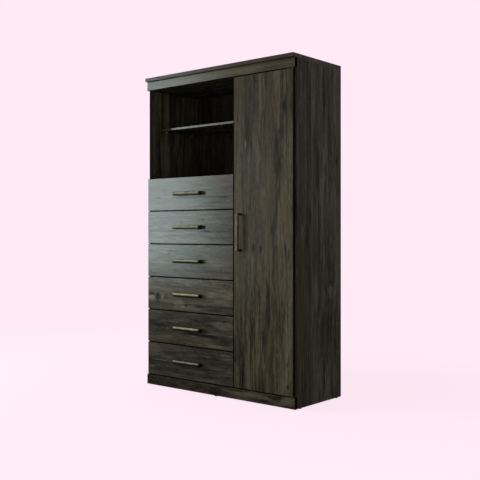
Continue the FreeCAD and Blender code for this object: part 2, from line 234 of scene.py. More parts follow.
# Streaks and knots that stand out on a board, and broad patches of painted light and shade: the middle of
# each along and across the grain, its half length and half width, and how dark it is, below 0 for a pale
# one
MARKS = {
    "door_panel": (
        (1.182, 0.368, 0.016, 0.013, 0.65),
        (1.120, 0.351, 0.080, 0.012, 0.80),
        (1.050, 0.359, 0.130, 0.024, 0.75),
        (0.930, 0.364, 0.060, 0.012, 0.70),
        (0.850, 0.352, 0.080, 0.010, 0.60),
        (0.775, 0.339, 0.090, 0.015, 0.75),
        (0.675, 0.334, 0.110, 0.013, 0.65),
        (0.555, 0.336, 0.130, 0.012, 0.60),
        (0.445, 0.330, 0.080, 0.013, 0.50),
        (0.682, 0.231, 0.028, 0.012, 0.95),
        (0.673, 0.269, 0.026, 0.007, 0.75),
        (0.653, 0.418, 0.038, 0.009, 0.75),
        (0.465, 0.304, 0.115, 0.012, 0.90),
        (0.390, 0.300, 0.090, 0.019, 0.70),
        (0.290, 0.292, 0.120, 0.016, 0.60),
        (0.205, 0.291, 0.034, 0.009, 0.60),
        (0.485, 0.258, 0.055, 0.005, 0.80),
        (0.370, 0.258, 0.160, 0.005, 0.50),
        (0.444, 0.378, 0.014, 0.006, 0.70),
        (0.188, 0.414, 0.015, 0.007, 0.70),
        (0.092, 0.414, 0.014, 0.007, 0.80),
        (0.222, 0.358, 0.012, 0.007, -0.40),
        (0.230, 0.126, 0.080, 0.018, 0.60),
        (0.110, 0.150, 0.060, 0.006, 0.50),
        (0.972, 0.158, 0.041, 0.007, 0.50),
        (1.230, 0.158, 0.120, 0.004, 0.55),
        (1.415, 0.297, 0.050, 0.011, 0.50),
        (1.290, 0.425, 0.020, 0.005, 0.80),
        (1.350, 0.415, 0.050, 0.005, 0.60),
        (0.900, 0.273, 0.090, 0.024, -0.45),
        (1.143, 0.178, 0.024, 0.008, -0.60),
        # The last three pale marks are broad patches, not marks in the wood: they lighten the door's
        # middle, as painted light, and strips along both its long edges
        (0.760, 0.240, 0.520, 0.240, -0.22),
        (0.800, 0.135, 0.560, 0.050, -0.22),
        (0.750, 0.418, 0.900, 0.040, -0.38),
    ),
    "right_side": (
        (1.360, 0.052, 0.140, 0.020, 0.75),
        (1.130, -0.012, 0.040, 0.024, 0.60),
        (1.035, 0.004, 0.140, 0.014, 0.90),
        (0.825, -0.058, 0.060, 0.014, 0.95),
        (0.730, -0.072, 0.070, 0.017, 0.85),
        (0.800, 0.015, 0.140, 0.010, 0.85),
        (0.723, 0.133, 0.012, 0.006, 0.95),
        (0.756, -0.113, 0.034, 0.012, -0.35),
        (0.570, 0.128, 0.065, 0.016, 0.75),
        (0.527, 0.108, 0.009, 0.022, 0.60),
        (0.490, 0.104, 0.036, 0.017, -0.40),
        (0.300, 0.044, 0.130, 0.028, 0.60),
        (0.120, 0.057, 0.120, 0.013, 0.80),
        (0.490, -0.012, 0.110, 0.030, -0.30),
        (0.750, -0.037, 0.700, 0.003, -0.30),
    ),
    "plinth": (
        # The dark marks over the plinth's left and middle paint shade, and the pale ones at its right
        # paint light
        (-0.330, 0.026, 0.220, 0.060, 0.60),
        (-0.050, 0.030, 0.200, 0.030, 0.35),
        (0.190, 0.030, 0.180, 0.014, -0.50),
        (0.380, 0.020, 0.090, 0.012, -0.40),
        (0.415, 0.034, 0.060, 0.026, -0.60),
    ),
    "fascia": ((0.100, 1.470, 0.300, 0.024, -0.30), (0.330, 1.462, 0.080, 0.004, 0.50)),
    "drawer_1_front": (
        (-0.045, 0.9480, 0.060, 0.0018, 0.90),
        (-0.150, 0.9150, 0.160, 0.0060, 0.50),
        (-0.370, 0.9160, 0.030, 0.0080, 0.45),
        (0.020, 0.8850, 0.110, 0.0040, 0.60),
        (-0.060, 0.8700, 0.090, 0.0030, 0.40),
    ),
    "drawer_2_front": (
        (0.050, 0.7880, 0.030, 0.0030, 0.60),
        (0.035, 0.7760, 0.020, 0.0025, 0.60),
        (-0.170, 0.7100, 0.300, 0.0120, -0.35),
    ),
    "drawer_3_front": (
        (-0.270, 0.6600, 0.060, 0.0040, 0.55),
        (-0.300, 0.6460, 0.020, 0.0080, 0.45),
        # Painted light: a pale patch over the right part of this front, where the lamp's sheen fades
        (0.030, 0.6350, 0.130, 0.0600, -0.28),
    ),
    "drawer_4_front": (
        (-0.183, 0.407, 0.018, 0.0095, 1.00),
        (-0.373, 0.432, 0.019, 0.0340, 0.85),
        (-0.330, 0.462, 0.060, 0.0040, 0.50),
        (-0.318, 0.434, 0.016, 0.0240, 0.55),
        # Painted highlight: the pale patch at the left end is the lamp's sheen
        (-0.420, 0.434, 0.032, 0.0240, -0.80),
        (-0.342, 0.430, 0.010, 0.0160, -0.45),
        (-0.230, 0.420, 0.050, 0.0140, -0.40),
        (-0.180, 0.400, 0.130, 0.0100, -0.25),
        # Painted light: a pale patch over the right part of this front
        (0.020, 0.460, 0.140, 0.0500, -0.15),
    ),
    "drawer_5_front": (
        (-0.362, 0.306, 0.090, 0.0110, 0.80),
        (-0.290, 0.352, 0.070, 0.0030, 0.55),
        (-0.061, 0.336, 0.018, 0.0090, 1.00),
        (-0.060, 0.268, 0.200, 0.0150, 0.90),
        (0.060, 0.254, 0.080, 0.0080, 0.60),
        (0.055, 0.332, 0.090, 0.0200, -0.30),
        (-0.220, 0.330, 0.110, 0.0120, -0.20),
    ),
    "drawer_6_front": (
        (-0.310, 0.085, 0.150, 0.0150, 0.60),
        (-0.360, 0.128, 0.090, 0.0040, -0.30),
        (0.055, 0.1840, 0.045, 0.0026, 0.70),
        (-0.045, 0.1840, 0.050, 0.0026, 0.60),
        (0.065, 0.1905, 0.038, 0.0038, -0.60),
        (0.075, 0.1770, 0.032, 0.0030, -0.50),
        (-0.050, 0.1755, 0.050, 0.0030, -0.45),
        (-0.150, 0.165, 0.110, 0.0040, 0.40),
    ),
}

# Oak decor foil
OAK_DARK = rgb(17, 14, 9)
OAK_MID = rgb(50, 45, 34)
OAK_LIGHT = rgb(79, 73, 58)
OAK_PALE = rgb(104, 97, 80)
OAK_BROWN = rgb(59, 50, 35)
OAK_BLUE = rgb(32, 35, 35)
CRACK = rgb(9, 7, 5)

# Noises of the grain: the share of its length at which each is read, which draws it out, then its scale,
# detail, roughness and twist
GRAIN = {
    "figure": (0.16, 8.0, 3.0, 0.55, 0.5),
    "bands": (0.10, 34.0, 4.0, 0.60, 0.7),
    "streaks": (0.11, 120.0, 3.0, 0.65, 0.6),
    "flecks": (0.26, 230.0, 2.0, 0.60, 0.4),
    "stain": (0.30, 15.0, 3.0, 0.55, 0.6),
    "fibres": (0.03, 640.0, 3.0, 0.65, 0.0),
    "cloud": (0.16, 4.2, 2.0, 0.50, 0.3),
    "crack_line": (0.06, 22.0, 2.0, 0.50, 0.4),
    "crack_place": (0.16, 13.0, 1.0, 0.50, 0.0),
}
STREAK_SHARE = 0.75
FLECK_SHARE = 0.55
STAIN_SHARE = 0.55
FIBRE_SHARE = 0.22
PLANK_SHARE = 0.16
RING_SHARE = 0.03
GRAIN_MEAN = 1.62
RING_COUNT = 74.0

# Where tints and cracks begin and are full in their noises, and how strong they are
BROWN_CLOUDS = (0.46, 0.66)
BROWN_SHARE = 0.5
BLUE_FIGURE = (0.52, 0.72)
BLUE_SHARE = 0.3
CRACK_EDGES = (0.001, 0.012)
CRACK_PLACES = (0.54, 0.64)
CRACK_SHARE = 0.8

# Planks printed side by side
PLANK_WIDTH = 0.118
PLANK_SHIFT = 5.0
SEED_ALONG = 1.73
SEED_ACROSS = 0.61

# Known marks stray sideways with a noise, the narrow ones less, and the grain's bands break the dark ones
STRAY_NOISE = (11.0, 2.0, 0.5)
STRAY_DRAWN = 0.6
STRAY_REACH = 0.06
NARROW_MARK = 1 / 60
MARK_EDGE = (0.05, 1.0)
MARK_BREAKS = (0.34, 0.60)

# Dark tape on the narrow faces, which also paints shade in the gaps between parts, and a pale rim beside
# it, which is rubbed foil and a painted edge highlight
TAPE_AND_SHADE = rgb(15, 13, 9)
TAPE_ROUGH = 0.8
TAPE_AND_SHADE_WIDTH = 0.0012
RIM_WIDTH = 0.0016
WEAR_AND_HIGHLIGHT_RANGE = 0.6
WEAR_AND_HIGHLIGHT_LEAST = 0.05
SQUARE_ON = 0.5

# Relief and roughness of the foil, and how the lacquer over it loses its shine
FIBRE_HEIGHT = 0.5
STREAK_HEIGHT = 0.4
CRACK_DEPTH = 1.2
ROUGH_BY_RELIEF = 500.0
CRACK_ROUGH = 0.25
LACQUER_ROUGH = 0.2
DULL_DARK = 0.8
DULL_CRACK = 0.6
DULL_PALE = 0.1
SHINE_RANGE = 0.7
SHINE_LEAST = 0.65


def grain_noises(f, across, depth, along):
    noises = {}
    for name, (drawn, *settings) in GRAIN.items():
        noises[name] = f.noise(f.join(across, depth, along * drawn), *settings)
    return SimpleNamespace(**noises)


def marked(marks, along, across, stray):
    """How strongly known marks cover a point."""
    cover = 0.0
    for middle_along, middle_across, half_length, half_width, strength in marks:
        u = (along - middle_along) / half_length
        v = (across - middle_across + stray * min(1.0, half_width / NARROW_MARK)) / half_width
        spot = (1.0 - (u * u + v * v).step(*MARK_EDGE)) * abs(strength)
        cover = spot.largest(cover)
    return cover


def foil_colour(f, grain, plank_tone, contrast):
    """Cathedral figure, bands, streaks, flecks, stains and fine fibres in the tones of the oak."""
    value = grain.bands + grain.streaks * STREAK_SHARE + grain.flecks * FLECK_SHARE
    value = value + grain.stain * STAIN_SHARE + grain.fibres * FIBRE_SHARE
    rings = (grain.figure * RING_COUNT).sine()
    value = (value + plank_tone * PLANK_SHARE + rings * RING_SHARE - GRAIN_MEAN) * contrast + 0.5
    wood = f.ramp(value, (0.18, OAK_DARK), (0.50, OAK_MID), (0.82, OAK_LIGHT))
    wood = f.blend(grain.cloud.step(*BROWN_CLOUDS) * BROWN_SHARE, wood, OAK_BROWN)
    return f.blend(grain.figure.step(*BLUE_FIGURE) * BLUE_SHARE, wood, OAK_BLUE)


def edge_masks(f, node, where, run, side, deep, taped):
    """Masks of the narrow faces, of the pale rim beside them, which is rubbed foil and a painted edge
    highlight, and of the tape, which also paints shade in the gaps.
    """
    low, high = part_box(node)
    near_end = (where[run] - low[run]).smallest(high[run] - where[run])
    near_side = (where[side] - low[side]).smallest(high[side] - where[side])
    rim = near_end.smallest(near_side)
    faces = f.parts(f.facing())
    narrow = abs(faces[deep]) < SQUARE_ON
    wear_and_highlight = (1.0 - rim.step(TAPE_AND_SHADE_WIDTH, TAPE_AND_SHADE_WIDTH + RIM_WIDTH)) * (1.0 - narrow)
    tape_and_shade = 0.0
    if taped == "ends":
        tape_and_shade = abs(faces[run]) > SQUARE_ON
    if taped == "all":
        tape_and_shade = narrow.largest(rim < TAPE_AND_SHADE_WIDTH)
    return narrow, wear_and_highlight, tape_and_shade


def oak(node, along, thick, seed, tone=1.0, pure=1.0, hue=0.5, contrast=1.1, stretch=1.0,
        gloss=0.1, rough=0.36, relief=0.0003, lacquer=0.0, taped="none"):
    """Dark oak decor foil on one board, whose grain runs along one axis and which is thin along another.

    Tone, purity and hue change all its colours, contrast and stretch its grain. Dark tape, which also
    paints shade in the gaps between parts, may cover all its narrow faces, or its ends. Its faces get a
    pale rim, rubbed foil and a painted edge highlight. Lacquer is a coat that shines less over knots,
    cracks, open grain and tape."""
    f = finish("oak_" + node)
    where = f.parts(f.place())
    run = AXES.index(along)
    deep = AXES.index(thick)
    side = 3 - run - deep
    length = where[run] + seed * SEED_ALONG
    across = where[side] + seed * SEED_ACROSS

    plank = (across / PLANK_WIDTH + 0.5).floor()
    plank_tone = f.add("ShaderNodeTexWhiteNoise", {"noise_dimensions": "1D"}, {"W": plank + seed})[0]
    grain = grain_noises(f, across, where[deep], (plank_tone * PLANK_SHIFT + length) * (1.0 / stretch))
    wood = foil_colour(f, grain, plank_tone, contrast)

    # Known marks, the pale ones under the dark, which the bands break up
    dark = pale = 0.0
    if node in MARKS:
        stray = f.noise(f.join(across, where[deep], length * STRAY_DRAWN), *STRAY_NOISE)
        stray = (stray - 0.5) * STRAY_REACH
        pale = marked([mark for mark in MARKS[node] if mark[-1] < 0], where[run], where[side], stray)
        dark = marked([mark for mark in MARKS[node] if mark[-1] > 0], where[run], where[side], stray)
        dark = dark * (grain.bands.step(*MARK_BREAKS) * 0.5 + 0.5)
        wood = f.blend(pale, wood, f.ramp(grain.flecks, (0.3, OAK_LIGHT), (0.6, OAK_PALE)))
        wood = f.blend(dark, wood, f.ramp(grain.streaks, (0.42, CRACK), (0.7, OAK_BLUE)))

    # Short dark cracks
    thin = 1.0 - abs(grain.crack_line - 0.5).step(*CRACK_EDGES)
    crack = thin * grain.crack_place.step(*CRACK_PLACES)
    wood = f.blend(crack * CRACK_SHARE, wood, CRACK)

    inputs = {"Hue": hue, "Saturation": pure, "Value": tone, "Color": wood}
    wood = f.add("ShaderNodeHueSaturation", None, inputs)[0]
    narrow, wear_and_highlight, tape_and_shade = edge_masks(f, node, where, run, side, deep, taped)
    # Pale rim: rubbed foil and a painted edge highlight
    wood = f.blend(wear_and_highlight * (grain.fibres * WEAR_AND_HIGHLIGHT_RANGE + WEAR_AND_HIGHLIGHT_LEAST), wood, OAK_LIGHT)
    roughness = (grain.streaks - 0.5) * (relief * ROUGH_BY_RELIEF) + rough + crack * CRACK_ROUGH
    # Dark tape, which also paints shade in the gaps between parts
    if taped != "none":
        wood = f.blend(tape_and_shade, wood, TAPE_AND_SHADE)
        roughness = roughness + (TAPE_ROUGH - rough) * tape_and_shade
    height = grain.fibres * FIBRE_HEIGHT + grain.streaks * STREAK_HEIGHT - crack * CRACK_DEPTH
    normal = f.bump(height * (1.0 - narrow), relief)
    coat = 0.0
    if lacquer:
        whole = (1.0 - dark * DULL_DARK - crack * DULL_CRACK - pale * DULL_PALE) * (1.0 - tape_and_shade)
        coat = whole * (grain.streaks * SHINE_RANGE + SHINE_LEAST) * lacquer
    return f.surface(wood, roughness, normal, gloss=gloss, coat=coat, coat_rough=LACQUER_ROUGH)


# Other finishes. Noises are scale, detail, roughness and twist, and depths are of their relief.
LINING_SIDES = (92, 90, 86)
LINING_BOTTOMS = (104, 101, 95)
LINING_DARK_SHARE = 0.78
LINING_DRAWN = 14.0
LINING_LINES = (90.0, 3.0, 0.6)
LINING_CLOUD = (11.0, 2.0)
LINING_DEPTH = 0.0001
LINING_ROUGH = 0.52

BRONZE_STOPS = ((0.34, (48, 46, 34)), (0.50, (68, 65, 50)), (0.66, (90, 86, 68)))
BRONZE_SPECK = rgb(32, 29, 22)
BRONZE_PAINTED_SHADE = rgb(22, 20, 13)
BRUSH_DRAWN = 0.03
BRUSH_LINES = (1900.0, 2.0, 0.6)
BRUSH_DEPTH = 0.00005
BRONZE_CLOUD = 55.0
SPECK_NOISE = (240.0, 2.0, 0.6)
SPECK_EDGES = (0.62, 0.75)
SPECK_SHARE = 0.35
SHADE_FACING = (-0.12, 0.12)
SHADE_FADE = 0.003
BRONZE_ROUGH = 0.28

ZINC_DARK = rgb(140, 142, 146)
ZINC_LIGHT = rgb(190, 192, 194)
ZINC_CLOUD = 38.0
ZINC_FINE = (700.0, 2.0, 0.6)
ZINC_DEPTH = 0.00003
ZINC_ROUGH = 0.22

PLASTIC_DARK_SHARE = 0.85
PLASTIC_CLOUD = (30.0, 2.0)
SPARKED_DEPTH = 0.00006
PLASTIC_ROUGH = 0.42
BLACK = (26, 26, 27)
CLEAR = (58, 58, 56)
BLACK_GRAIN = 1500.0
CLEAR_GRAIN = 900.0


def lining(name, colour, seed):
    """Matte fine-line foil of the drawer boxes and their bottoms."""
    f = finish(name)
    x, y, z = f.parts(f.place())
    lines = f.noise(f.join(x * LINING_DRAWN + seed, y, z * LINING_DRAWN), *LINING_LINES)
    cloud = f.noise(f.place(), *LINING_CLOUD)
    dark = rgb(*colour, share=LINING_DARK_SHARE)
    tone = f.ramp(lines * 0.7 + cloud * 0.3, (0.35, dark), (0.65, rgb(*colour)))
    return f.surface(tone, cloud * 0.1 + LINING_ROUGH, f.bump(lines, LINING_DEPTH))


def bronze(name, along, shaded_side, seed, tone, shade_strength, shade_behind=None):
    """Antique bronze bar, brushed along one axis, with painted shade on the side turned away from the
    light.

    That side is an axis and a sign. Where a depth is given, the painted shade lies only behind it."""
    f = finish(name)
    where = f.parts(f.place())
    brushed = list(where)
    brushed[AXES.index(along)] = where[AXES.index(along)] * BRUSH_DRAWN
    lines = f.noise(f.join(*brushed), *BRUSH_LINES)
    cloud = f.noise(f.place(), BRONZE_CLOUD + seed, 3.0, 0.6)
    specks = f.noise(f.place(), *SPECK_NOISE).step(*SPECK_EDGES) * SPECK_SHARE
    stops = [(place, rgb(*colour, share=tone)) for place, colour in BRONZE_STOPS]
    metal = f.blend(specks, f.ramp(cloud * 0.75 + lines * 0.25, *stops), BRONZE_SPECK)
    # Painted shade: faces that turn to the given side, away from the light, are darkened
    axis, sign = shaded_side
    shaded = (f.parts(f.facing())[AXES.index(axis)] * sign).step(*SHADE_FACING)
    if shade_behind is not None:
        shaded = shaded * where[1].step(shade_behind, shade_behind + SHADE_FADE)
    metal = f.blend(shaded * shade_strength, metal, BRONZE_PAINTED_SHADE)
    rough = lines * 0.14 + cloud * 0.12 + BRONZE_ROUGH
    return f.surface(metal, rough, f.bump(lines, BRUSH_DEPTH), metal=1.0)


def zinc(name, seed):
    """Zinc plated sheet steel, faintly cloudy."""
    f = finish(name)
    cloud = f.noise(f.place(), ZINC_CLOUD + seed, 3.0, 0.6, 0.5)
    fine = f.noise(f.place(), *ZINC_FINE)
    tone = f.ramp(cloud, (0.35, ZINC_DARK), (0.65, ZINC_LIGHT))
    return f.surface(tone, cloud * 0.16 + fine * 0.08 + ZINC_ROUGH, f.bump(fine, ZINC_DEPTH), metal=1.0)


def plastic(name, colour, grain):
    """Moulded plastic with a fine sparked texture."""
    f = finish(name)
    fine = f.noise(f.place(), grain, 2.0, 0.6)
    cloud = f.noise(f.place(), *PLASTIC_CLOUD)
    tone = f.ramp(cloud, (0.3, rgb(*colour, share=PLASTIC_DARK_SHARE)), (0.7, rgb(*colour)))
    return f.surface(tone, fine * 0.12 + PLASTIC_ROUGH, f.bump(fine, SPARKED_DEPTH))


CATCH_DARK = rgb(20, 20, 21)
CATCH_LIGHT = rgb(27, 27, 28)
CATCH_STRIP = rgb(150, 150, 152)
CATCH_STRIP_SET_OFF = 0.0035
CATCH_STRIP_HALF = 0.0008
CATCH_STRIP_REACH = 0.38
CATCH_STRIP_FACING = -0.9
CATCH_STRIP_SMOOTHER = 0.15


def magnet_catch(node):
    """Moulded black housing with two steel strips along the face that pulls the door shut."""
    f = finish("magnet_catch")
    x, y, z = f.parts(f.place())
    low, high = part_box(node)
    middle = (low + high) / 2
    fine = f.noise(f.place(), BLACK_GRAIN, 2.0, 0.6)
    beside = abs(abs(x - middle.x) - CATCH_STRIP_SET_OFF) < CATCH_STRIP_HALF
    along = abs(z - middle.z) < (high.z - low.z) * CATCH_STRIP_REACH
    strip = beside * along * (f.parts(f.facing())[1] < CATCH_STRIP_FACING)
    tone = f.blend(strip, f.ramp(fine, (0.3, CATCH_DARK), (0.7, CATCH_LIGHT)), CATCH_STRIP)
    rough = fine * 0.12 + PLASTIC_ROUGH - strip * CATCH_STRIP_SMOOTHER
    return f.surface(tone, rough, f.bump(fine, SPARKED_DEPTH), metal=strip)


# Finish of each kind of board. The grain of the uprights and the door is the most drawn out.
UPRIGHT = {"contrast": 1.25, "stretch": 1.8, "gloss": 0.035}
UPRIGHT_TAPED_AND_SHADED = UPRIGHT | {"taped": "all"}
RIGHT_SIDE = UPRIGHT | {"tone": 1.04, "pure": 0.72, "hue": 0.53, "taped": "ends"}
DOOR = UPRIGHT_TAPED_AND_SHADED | {"tone": 1.05, "pure": 1.05, "contrast": 1.3, "gloss": 0.045, "rough": 0.3}
LEVEL = {"gloss": 0.08, "rough": 0.25}
NICHE_SHELF = LEVEL | {"gloss": 0.2}
# The lower tones of the inner top and the back boards paint shade: the niche's ceiling and back are
# darkened
INNER_TOP = LEVEL | {"tone": 0.6, "gloss": 0.02}
BACK = {"tone": 0.48, "gloss": 0.03, "rough": 0.5}
ACROSS = {"gloss": 0.0, "rough": 0.5, "relief": 0.00018, "taped": "all"}
FASCIA = ACROSS | {"pure": 1.2, "lacquer": 0.33}
PLINTH = ACROSS | {"tone": 0.86, "lacquer": 0.11}
FRONT = ACROSS | {"lacquer": 0.44}

# Each board: the axis of its grain, the axis that it is thin along, its seed and its finish
BOARDS = {
    "left_side": ("z", "x", 1.3, UPRIGHT_TAPED_AND_SHADED),
    "right_side": ("z", "x", 2.3, RIGHT_SIDE),
    "partition": ("z", "x", 3.3, UPRIGHT_TAPED_AND_SHADED),
    "top_board": ("x", "z", 11.7, LEVEL),
    "inner_top": ("x", "z", 12.7, INNER_TOP),
    "bottom_panel": ("x", "z", 13.7, LEVEL),
    "niche_floor": ("x", "z", 14.7, LEVEL),
    "niche_shelf": ("x", "z", 15.7, NICHE_SHELF),
    "cupboard_shelves": ("x", "z", 16.7, LEVEL),
    "fascia": ("x", "y", 23.1, FASCIA),
    "plinth": ("x", "y", 24.1, PLINTH),
    "rear_rails": ("x", "y", 25.1, FASCIA),
    "back_left": ("z", "y", 31.9, BACK),
    "back_right": ("z", "y", 32.9, BACK),
    "door_panel": ("z", "y", 47.2, DOOR),
}

# Each drawer front has its own seed and tone, and each handle its tone and the strength of the painted
# shade on its underside
FRONT_SEED = 53.0
FRONT_SEED_STEP = 2.37
# The fronts' tones paint light as well: the third to fifth fronts are lightened where the lamps' light
# falls short of them
FRONT_TONES = (1.0, 1.0, 1.2, 1.31, 1.3, 0.95)
# The handles' tones paint shade as well: the lowest drawer's handle is darkened
HANDLE_TONES = (1.0, 1.0, 1.03, 1.05, 1.03, 0.8)
HANDLE_SHADE_STRENGTHS = (0.5, 0.5, 0.85, 0.85, 0.85, 0.85)

# The door's handle, whose tone is lowered as painted shade, and how far back from its front its painted
# shade begins
DOOR_HANDLE_TONE = 0.85
DOOR_HANDLE_SHADE_STRENGTH = 0.85
SHADE_DEPTH = 0.005


def dress_boards():
    for node, (along, thick, seed, look) in BOARDS.items():
        paint(node, oak(node, along, thick, seed, **look))


def dress_door_parts():
    """The handle, with painted shade on its faces behind the front of its bar that turn away from the
    lamp, and the catch.
    """
    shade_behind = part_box("door_handle")[0].y + SHADE_DEPTH
    look = {"seed": 9, "tone": DOOR_HANDLE_TONE, "shade_strength": DOOR_HANDLE_SHADE_STRENGTH, "shade_behind": shade_behind}
    paint("door_handle", bronze("bronze_door", "z", ("x", 1.0), **look))
    paint("door_catch", magnet_catch("door_catch"))


def dress_drawers(steel):
    boxes = lining("drawer_lining", LINING_SIDES, seed=3.0)
    bottoms = lining("drawer_bottom_lining", LINING_BOTTOMS, seed=8.0)
    looks = zip(DRAWERS, FRONT_TONES, HANDLE_TONES, HANDLE_SHADE_STRENGTHS)
    for number, front_tone, handle_tone, shade_strength in looks:
        name = "drawer_%d_" % number
        front = name + "front"
        seed = FRONT_SEED + FRONT_SEED_STEP * number
        paint(front, oak(front, "x", "y", seed, tone=front_tone, **FRONT))
        paint(name + "handle", bronze("bronze_" + name, "x", ("z", -1.0), number, handle_tone, shade_strength))
        paint(name + "box", boxes)
        paint(name + "bottom", bottoms)
        paint(name + "rails", steel)
        paint(name + "mid_rails", steel)


def dress_hardware(steel):
    for node in ("cabinet_rails", "shelf_pins", "pivot_plates", "door_pivot_plates", "catch_plate"):
        paint(node, steel)
    black = plastic("black_plastic", BLACK, BLACK_GRAIN)
    for node in ("floor_glides", "pivot_washers"):
        paint(node, black)


# Small metal and plastic pieces. These first sizes and places are those of the CAD solids.
RAIL_STEEL = 0.0012
RAIL_HOLES = (0.035, 0.131, 0.259)
BOX_BOARD = 0.012
BOX_SCREW_INSET = 0.025
HANDLE_SCREW_OFFSET = 0.0805
PLATE_STEEL = 0.0025
PLATE_SCREWS = (0.0186, 0.0326)

# Balls of a slide, in one row above and one below each middle rail
BALL_COUNT = 7
BALL_PITCH = 0.0085
BALL_START = 0.012
BALL_INSET = 0.0024
BALL_OUTLINE = ((0.0, -0.0011), (0.00078, -0.00078), (0.0011, 0.0), (0.00078, 0.00078), (0.0, 0.0011))

# Outlines of bumper and collar from the base up, as radius and height, and places of the bumpers
BUMPER_OUTLINE = ((0.0029, 0.0), (0.0029, 0.0009), (0.0021, 0.0015), (0.0, 0.0017))
COLLAR_OUTLINE = ((0.0042, 0.0), (0.0042, 0.0007), (0.0036, 0.0012), (0.0026, 0.0012))
DRAWER_BUMPER_LEFT = 0.0035
DRAWER_BUMPER_RIGHT = 0.003
DRAWER_BUMPER_INSET = 0.02
DOOR_BUMPER_SIDE = 0.003
DOOR_BUMPER_INSET = 0.03

# Screw heads, as radius and height. The rim and the recess are shares of both.
RAIL_SCREW = (0.0037, 0.0009)
HANDLE_SCREW = (0.0042, 0.0022)
PLATE_SCREW = (0.0036, 0.0003)
BOX_SCREW = (0.0035, 0.0004)
HEAD_RIM = ((1.0, 0.0), (1.0, 0.35), (0.86, 0.82), (0.66, 1.0))
RECESS_ARM = 0.46
RECESS_HALF = 0.11
RECESS_TAPER = 0.8
RECESS_FLOOR = 0.35

ROUND_SEGMENTS = 20
BALL_SEGMENTS = 10
SHARP_EDGE = math.radians(40)
UP = (0, 0, 1)
BACKWARD = (0, 1, 0)


def centre(box):
    return (box[0] + box[1]) / 2


def islands(node):
    """The lowest and highest corner of every separate solid in a node."""
    bm = bmesh.new()
    bm.from_mesh(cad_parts[node].data)
    bmesh.ops.remove_doubles(bm, verts=bm.verts, dist=1e-6)
    left = set(bm.verts)
    boxes = []
    while left:
        group = [left.pop()]
        for vert in group:
            for edge in vert.link_edges:
                other = edge.other_vert(vert)
                if other in left:
                    left.remove(other)
                    group.append(other)
        places = list(zip(*[vert.co for vert in group]))
        boxes.append((Vector([min(row) for row in places]), Vector([max(row) for row in places])))
    bm.free()
    return sorted(boxes, key=lambda box: tuple(round(value, 5) for value in box[0]))


def turned(outline, segments):
    """Points and faces of a turned form. Its outline runs from base to top, as radius and height."""
    points = []
    rings = []
    for radius, height in outline:
        count = 1 if radius == 0 else segments
        rings.append(range(len(points), len(points) + count))
        for step in range(count):
            angle = 2 * math.pi * step / segments
            points.append(Vector((radius * math.cos(angle), radius * math.sin(angle), height)))
    faces = []
    for lower, upper in zip(rings, rings[1:]):
        for step in range(segments):
            following = (step + 1) % segments
            a, b = lower[step % len(lower)], lower[following % len(lower)]
            c, d = upper[following % len(upper)], upper[step % len(upper)]
            faces.append(tuple(dict.fromkeys((a, b, c, d))))
    return points, faces


def cross(arm, half):
    """Outline of a cross-shaped recess."""
    outline = []
    for turn in range(4):
        c, s = round(math.cos(turn * math.pi / 2)), round(math.sin(turn * math.pi / 2))
        outline += [(x * c - y * s, x * s + y * c) for x, y in ((half, half), (half, arm), (-half, arm))]
    return outline


def screw_head(radius, height):
    """Domed head with a cross recess, standing on its base."""
    points, faces = turned([(radius * out, height * up) for out, up in HEAD_RIM], ROUND_SEGMENTS)
    bm = bmesh.new()
    verts = [bm.verts.new(point) for point in points]
    for face in faces:
        bm.faces.new([verts[index] for index in face])
    outline = cross(radius * RECESS_ARM, radius * RECESS_HALF)
    mouth = [bm.verts.new((x, y, height)) for x, y in outline]
    taper, floor = RECESS_TAPER, height * RECESS_FLOOR
    bottom = [bm.verts.new((x * taper, y * taper, floor)) for x, y in outline]
    edges = []
    for ring in (verts[-ROUND_SEGMENTS:], mouth):
        for a, b in zip(ring, ring[1:] + ring[:1]):
            edges.append(bm.edges.get((a, b)) or bm.edges.new((a, b)))
    bmesh.ops.triangle_fill(bm, use_beauty=True, use_dissolve=False, edges=edges, normal=UP)
    for a, b, c, d in zip(mouth, mouth[1:] + mouth[:1], bottom[1:] + bottom[:1], bottom):
        bm.faces.new((a, b, c, d))
    bm.faces.new(bottom)
    bmesh.ops.recalc_face_normals(bm, faces=bm.faces)
    bm.verts.index_update()
    points = [vert.co.copy() for vert in bm.verts]
    faces = [tuple(vert.index for vert in face.verts) for face in bm.faces]
    bm.free()
    return points, faces


def set_out(name, body, kind, spots):
    """One piece that holds a copy of a kind's form at each spot, which is a place and the way it faces."""
    slot, material, (points, faces) = kind
    all_points = []
    all_faces = []
    for place, way in spots:
        turn = Vector(UP).rotation_difference(Vector(way)).to_matrix()
        start = len(all_points)
        all_points += [turn @ point + Vector(place) for point in points]
        all_faces += [tuple(start + index for index in face) for face in faces]
    mesh = bpy.data.meshes.new(name)
    mesh.from_pydata(all_points, [], all_faces)
    mesh.validate()
    mesh.materials.append(material)
    mesh.polygons.foreach_set("use_smooth", [True] * len(mesh.polygons))
    mesh.set_sharp_from_angle(angle=SHARP_EDGE)
    piece = bpy.data.objects.new(name, mesh)
    scene.collection.objects.link(piece)
    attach(piece, body)


